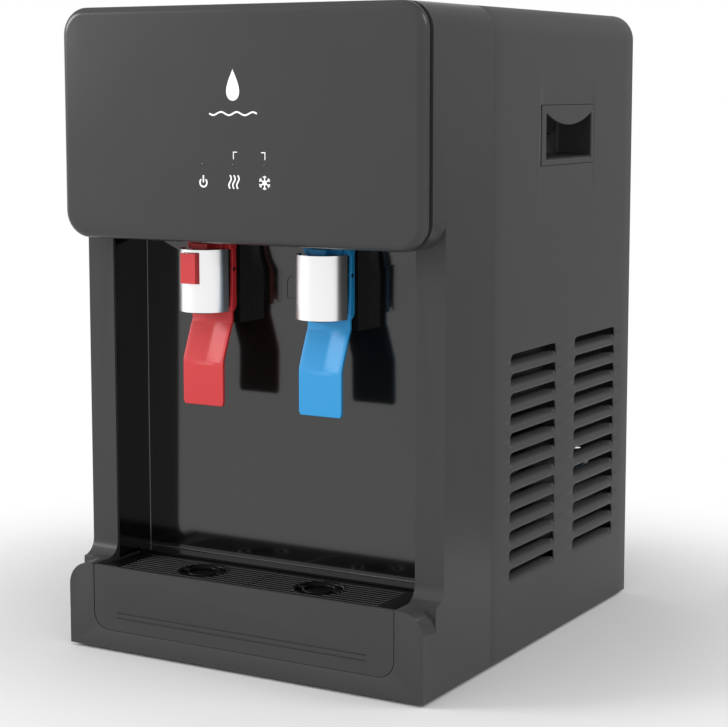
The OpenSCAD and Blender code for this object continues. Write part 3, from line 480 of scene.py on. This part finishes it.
def outward(obj):
    """Turns every face of a closed mesh outwards."""
    work = bmesh.new()
    work.from_mesh(obj.data)
    bmesh.ops.recalc_face_normals(work, faces=work.faces)
    work.to_mesh(obj.data)
    work.free()
    return obj


def stroke(name, path, width, closed=False, material=None):
    """Printed line on the panel: an ellipse of the line's width carried along x, z points, 0.12 mm proud."""
    path = np.asarray(path, float)
    ahead = np.roll(path, -1, 0) - path
    behind = path - np.roll(path, 1, 0)
    if not closed:
        ahead[-1], behind[0] = behind[-1], ahead[0]
    ahead /= np.linalg.norm(ahead, axis=1, keepdims=True)
    behind /= np.linalg.norm(behind, axis=1, keepdims=True)
    along = ahead + behind
    along /= np.linalg.norm(along, axis=1, keepdims=True)
    across = np.stack([-along[:, 1], along[:, 0]], 1) / np.maximum((along * ahead).sum(1, keepdims=True), 0.4)
    turn = np.linspace(0, 2 * np.pi, 8, endpoint=False)
    rings = np.zeros((len(path), 8, 3))
    rings[..., 0] = path[:, 0:1] + across[:, 0:1] * np.cos(turn) * width / 2
    rings[..., 1] = -0.12 * np.sin(turn)
    rings[..., 2] = path[:, 1:2] + across[:, 1:2] * np.cos(turn) * width / 2
    if closed:
        shape = looped(rings)
    else:
        shape = lofted(rings)
    return outward(place(name, *shape, "case", "white_plastic", (), 40, material or PRINT_INK))


def circle(cx, cz, r, start=0, stop=360, steps=32):
    """x, z points on part of a circle, in degrees from +x."""
    t = np.radians(np.linspace(start, stop, steps))
    return np.stack([cx + r * np.cos(t), cz + r * np.sin(t)], 1)


def joined(shapes):
    """One mesh of several: their points in a row, and their faces counted on."""
    points, faces, base = [], [], 0
    for p, f in shapes:
        points.append(p)
        faces += [[int(i) + base for i in face] for face in f]
        base += len(p)
    return np.concatenate(points), faces


def grille():
    """Drip grille: bars cut where they meet a circle round each target, a rim, and rings turned about the targets."""
    low, high, mid, pitch = 61.6, 64.3, 29.95, 4.8
    bar_end, rim_end, clear_r, target_y = 111, 125.5, 19.4, 31
    bars, rim = [], []

    def section(half, crown):
        t = np.radians(np.linspace(0, 180, 9))
        arch = np.stack([half * np.cos(t), high - crown + crown * np.sin(t)], 1)
        return np.concatenate([[(half, low)], arch, [(-half, low)]])

    def bar(x0, x1, y, half, crown):
        cut = section(half, crown)
        return lofted(np.stack([np.stack([np.full(len(cut), x), y + cut[:, 0], cut[:, 1]], -1) for x in (x0, x1)]))

    for k in range(-4, 5):
        y = mid + pitch * k
        clear = math.sqrt(max(0.0, clear_r**2 - (y - target_y) ** 2))
        cuts = [x + s * clear for x in (-TAP_X, TAP_X) for s in (-1, 1)] if clear else []
        marks = [-bar_end, *cuts, bar_end]
        for x0, x1 in zip(marks[::2], marks[1::2]):
            bars.append(bar(x0, x1, y, 0.6, 0.25))
    for y in (5.3, 54.6):
        rim.append(bar(-rim_end, rim_end, y, 1.7, 0.5))
    for x, half in ((-118, 7.5), (0, 2.0), (118, 7.5)):
        cut = section(half, 0.4)
        ends = [np.stack([x + cut[:, 0], np.full(len(cut), y), cut[:, 1]], -1) for y in (6.0, 54.0)]
        rim.append(lofted(np.stack(ends)))
    turn = np.linspace(0, 2 * np.pi, 48, endpoint=False)[:, None]
    for x in (-TAP_X, TAP_X):
        for radius, half in ((18.5, 1.5), (11.5, 1.0)):
            cut = section(half, half * 0.9)
            reach = radius + cut[:, 0]
            up = np.broadcast_to(cut[:, 1], (48, len(cut)))
            rim.append(looped(np.stack([x + reach * np.cos(turn), target_y + reach * np.sin(turn), up], -1)))
        for s in (-1, 1):
            rim.append(bar(*sorted((x + s * 11.5, x + s * 18)), target_y, 2.0, 0.6))
    bars_shape, rim_shape = joined(bars), joined(rim)
    slot = "grille_black"
    # The bars' tops carry the painted highlight of their finish.
    outward(place("drip_grille_bars", *bars_shape, "drip_grille", slot, ["drip_grille"], 40, TOP_HIGHLIGHT_ABS))
    outward(place("drip_grille_rim", *rim_shape, "drip_grille", slot, (), 40, GRILLE_ABS))


def symbols():
    """Printed signs: a power ring and bar, heat waves, a snowflake, two bracket lines, a drop and a water line."""
    z = 356.3
    stroke("power_ring", circle(-25.5, z - 1.0, 2.95, 130, 410, 30), 1.2)
    stroke("power_bar", [(-25.5, z - 0.9), (-25.5, z + 4.2)], 1.2)
    sway = np.linspace(0, 1, 21)
    for k in (-1, 0, 1):
        wave = np.stack([0.5 + 3.3 * k - 1.0 * np.sin(2 * np.pi * sway), z - 4.7 + 9.4 * sway], 1)
        stroke("heat_wave_%d" % (k + 2), wave, 1.15)
    for k in range(6):
        c, s = math.cos(math.radians(60 * k + 30)), math.sin(math.radians(60 * k + 30))

        def at(r, q):
            return 26.1 + r * c - q * s, z + r * s + q * c

        stroke("flake_arm_%d" % k, [at(0.0, 0), at(4.9, 0)], 0.85)
        stroke("flake_tip_%d" % k, [at(4.4, 1.35), at(3.2, 0), at(4.4, -1.35)], 0.7)
    stroke("flake_ring", circle(26.1, z, 1.7, 30, 330, 6), 0.6, closed=True)
    stroke("bracket_left", [(0.2, 372.2), (0.2, 377.2), (3.3, 377.2)], 0.7)
    stroke("bracket_right", [(23.4, 377.2), (26.5, 377.2), (26.5, 372.2)], 0.7)
    t = np.linspace(0, 2 * np.pi, 64, endpoint=False)
    drop = np.stack([7.6 * np.sin(t) * np.sin(t / 2) ** 1.4, 424 + 11 * np.cos(t)], 1)
    rings = np.stack([np.stack([drop[:, 0], np.full(64, y), drop[:, 1]], -1) for y in (0.05, -0.12)])
    outward(place("water_drop", *lofted(rings), "case", "white_plastic", (), 40, PRINT_INK))
    run = np.linspace(-1, 1, 61)
    stroke("water_line", np.stack([20 * run, 404 + 1.1 * np.sin(3 * np.pi * run)], 1), 1.2)


def lens(x, name):
    """Indicator lens: rings whose radius follows cos t and whose height follows sin t, 0.25 mm proud of the panel."""
    t = np.radians([0, 0, 30, 60, 85])
    radius = np.array([1.05, 1.05, *(1.05 * np.cos(t[2:]))])
    y = np.array([0.4, 0.0, *(-0.25 * np.sin(t[2:]))])
    turn = np.linspace(0, 2 * np.pi, 20, endpoint=False)
    rings = [np.stack([x + r * np.cos(turn), np.full(20, v), 368 + r * np.sin(turn)], -1) for r, v in zip(radius, y)]
    place(name + "_lens", *lofted(np.stack(rings)), "case", "indicator", [name], 50)


panel_face()
wrap_sheet()
grille()
hand_grip(-1, "left_hand_grip")
hand_grip(1, "right_hand_grip")
lever(-TAP_X, "hot_lever", "hot_red")
lever(TAP_X, "cold_lever", "cold_blue")
symbols()
for x, name in ((-25.8, "power_light"), (0.0, "hot_light"), (26.1, "cold_light")):
    lens(x, name)
for part, width, body in (
    ("front_frame", 1.2, "case"), ("drip_tray", 0.5, "drip_tray"), ("alcove_liner", 0.4, "case"),
    ("hot_tap_body", 0.6, "case"), ("cold_tap_body", 0.6, "case"), ("hot_tap_cover", 0.3, "case"),
    ("cold_tap_cover", 0.3, "case"), ("hot_safety_button", 0.8, "safety_button"),
):
    eased(part, width, body)


def raised(name, centre=None):
    """Sits a piece of the taps higher; with a centre x (mm), its rear edges also run on back along the tube.

    Along the last stretch the tube is a little wider, by the share that brings its edges to the full radius.
    """
    lift, rear_cut, rear_y, spread = 2.6, 34.3, 38.4, 1.018
    mesh = bpy.data.objects[name + "_eased"].data
    points = np.zeros(len(mesh.vertices) * 3)
    mesh.vertices.foreach_get("co", points)
    points = points.reshape(-1, 3)
    points[:, 2] += lift * 0.001
    if centre is not None:
        rear = points[:, 1] > (rear_cut + FRONT) * 0.001
        points[rear, 1] = (rear_y + FRONT) * 0.001
        points[rear, 0] = centre * 0.001 + (points[rear, 0] - centre * 0.001) * spread
    mesh.vertices.foreach_set("co", points.ravel())
    mesh.update()


raised("hot_tap_cover", -TAP_X)
raised("cold_tap_cover", TAP_X)
raised("hot_safety_button")


# ---- Floor, light and camera ----


def sums(tree, operation, first, second):
    """Math node; each input is a number or another math node."""
    made = node(tree, "ShaderNodeMath", {"operation": operation})
    for k, value in enumerate((first, second)):
        if isinstance(value, (int, float)):
            made.inputs[k].default_value = value
        else:
            tree.links.new(value.outputs[0], made.inputs[k])
    return made


def ramp(tree, source, low, high):
    """Smooth step of a value from 0 at low to 1 at high."""
    made = node(tree, "ShaderNodeMapRange", {"interpolation_type": "SMOOTHSTEP", "From Min": low, "From Max": high})
    tree.links.new(source.outputs[0], made.inputs["Value"])
    return made


def side_dusk(tree, split):
    """Share of the dim sector right behind the object: 1 between about 18 and 48 degrees from +Y towards +X."""
    heading = node(tree, "ShaderNodeMath", {"operation": "ARCTAN2"})
    tree.links.new(split.outputs["X"], heading.inputs[0])
    tree.links.new(split.outputs["Y"], heading.inputs[1])
    rise = ramp(tree, heading, math.radians(10), math.radians(18))
    fall = ramp(tree, heading, math.radians(62), math.radians(48))
    return sums(tree, "MULTIPLY", rise, fall)


def studio():
    """Level floor of white paper. From 0.22 to 0.56 m out it turns to full white, so it meets the bright surround.

    A sector right behind the object is dimmer, from 0.45 m off the case's side, which keeps that side dark.
    """
    t = np.linspace(0, 2 * np.pi, 64, endpoint=False)
    rings = np.stack([np.stack([r * np.cos(t), r * np.sin(t), np.zeros(64)], -1) for r in (0.001, 0.5, 2.0, 30.0)])
    mesh = bpy.data.meshes.new("studio_floor")
    mesh.from_pydata(rings.reshape(-1, 3).tolist(), [], quads(4, 64, True).tolist())
    shade(mesh, 60)
    paper = finish("white_backdrop_paper", "#dadada", 0.9)
    tree = paper.node_tree
    shader = tree.nodes["Principled BSDF"]
    where = node(tree, "ShaderNodeTexCoord")
    from_side = node(tree, "ShaderNodeVectorMath", {"operation": "SUBTRACT"}, Vector=(where, "Object"))
    from_side.inputs[1].default_value = (0.1525, -0.1, 0)
    split = node(tree, "ShaderNodeSeparateXYZ", Vector=(from_side, "Vector"))
    reach = node(tree, "ShaderNodeVectorMath", {"operation": "LENGTH"}, Vector=(from_side, "Vector"))
    reach_value = node(tree, "ShaderNodeMath", {"operation": "ADD"})
    tree.links.new(reach.outputs["Value"], reach_value.inputs[0])
    reach_value.inputs[1].default_value = 0.0
    dusk = sums(tree, "MULTIPLY", side_dusk(tree, split), ramp(tree, reach_value, 0.22, 0.45))
    light = sums(tree, "SUBTRACT", 1.0, sums(tree, "MULTIPLY", dusk, 0.75))
    away = node(tree, "ShaderNodeVectorMath", {"operation": "LENGTH"}, Vector=(where, "Object"))
    fade = {"interpolation_type": "SMOOTHSTEP", "From Min": 0.22, "From Max": 0.56}
    share = node(tree, "ShaderNodeMapRange", fade, Value=(away, "Value"))
    glow = node(tree, "ShaderNodeEmission", {"Color": (1, 1, 1, 1)})
    tree.links.new(light.outputs[0], glow.inputs["Strength"])
    mix = node(tree, "ShaderNodeMixShader")
    tree.links.new(share.outputs["Result"], mix.inputs[0])
    tree.links.new(shader.outputs["BSDF"], mix.inputs[1])
    tree.links.new(glow.outputs["Emission"], mix.inputs[2])
    tree.links.new(mix.outputs["Shader"], tree.nodes["Material Output"].inputs["Surface"])
    mesh.materials.append(paper)
    obj = bpy.data.objects.new("studio_floor", mesh)
    bpy.context.scene.collection.objects.link(obj)


def surround():
    """White room: dim right behind the object and high up at the back, a little brighter high up in front."""
    world = bpy.data.worlds.new("studio_air")
    bpy.context.scene.world = world
    world.use_nodes = True
    tree = world.node_tree
    where = node(tree, "ShaderNodeTexCoord")
    split = node(tree, "ShaderNodeSeparateXYZ", Vector=(where, "Generated"))
    height = node(tree, "ShaderNodeMath", {"operation": "ADD"})
    tree.links.new(split.outputs["Z"], height.inputs[0])
    height.inputs[1].default_value = 0.0
    depth = node(tree, "ShaderNodeMath", {"operation": "ADD"})
    tree.links.new(split.outputs["Y"], depth.inputs[0])
    depth.inputs[1].default_value = 0.0
    up = ramp(tree, height, 0.17, 0.45)
    back = sums(tree, "MULTIPLY", sums(tree, "MULTIPLY", up, ramp(tree, depth, -0.2, 0.5)), 0.62)
    front = sums(tree, "MULTIPLY", sums(tree, "MULTIPLY", up, ramp(tree, depth, -0.1, -0.8)), 0.2)
    dusk = sums(tree, "MULTIPLY", side_dusk(tree, split), 0.6)
    level = sums(tree, "ADD", sums(tree, "SUBTRACT", sums(tree, "SUBTRACT", 1.0, back), dusk), front)
    level = sums(tree, "MAXIMUM", level, 0.3)
    air = tree.nodes["Background"]
    air.inputs["Color"].default_value = (1, 1, 1, 1)
    tree.links.new(level.outputs[0], air.inputs["Strength"])


def softbox(name, place_at, aim, size, power):
    """Square area light at place_at (m), turned towards aim."""
    lamp = bpy.data.lights.new(name, "AREA")
    lamp.shape = "RECTANGLE"
    lamp.size, lamp.size_y = size
    lamp.energy = power
    obj = bpy.data.objects.new(name, lamp)
    obj.location = place_at
    obj.rotation_mode = "QUATERNION"
    obj.rotation_quaternion = (Vector(aim) - Vector(place_at)).to_track_quat("-Z", "Y")
    bpy.context.scene.collection.objects.link(obj)
    return obj


studio()
scene = bpy.context.scene
scene.view_settings.view_transform = "Standard"
surround()
softbox("key_softbox", (-2.2, -1.45, 1.1), (0, -0.18, 0.3), (0.9, 0.9), 46)
softbox("side_softbox", (1.7, 0.5, 1.5), (0.15, 0, 0.2), (0.9, 0.9), 16)

camera = bpy.data.cameras.new("camera")
camera.sensor_width = 36
camera.lens = 95.1033
camera.shift_y = -0.06
camera_obj = bpy.data.objects.new("camera", camera)
camera_obj.location = (0.7572, -1.1219 - 0.178, 0.4231)
camera_obj.rotation_euler = (math.radians(90 - 6.93), 0, math.radians(30.137))
scene.collection.objects.link(camera_obj)
scene.camera = camera_obj
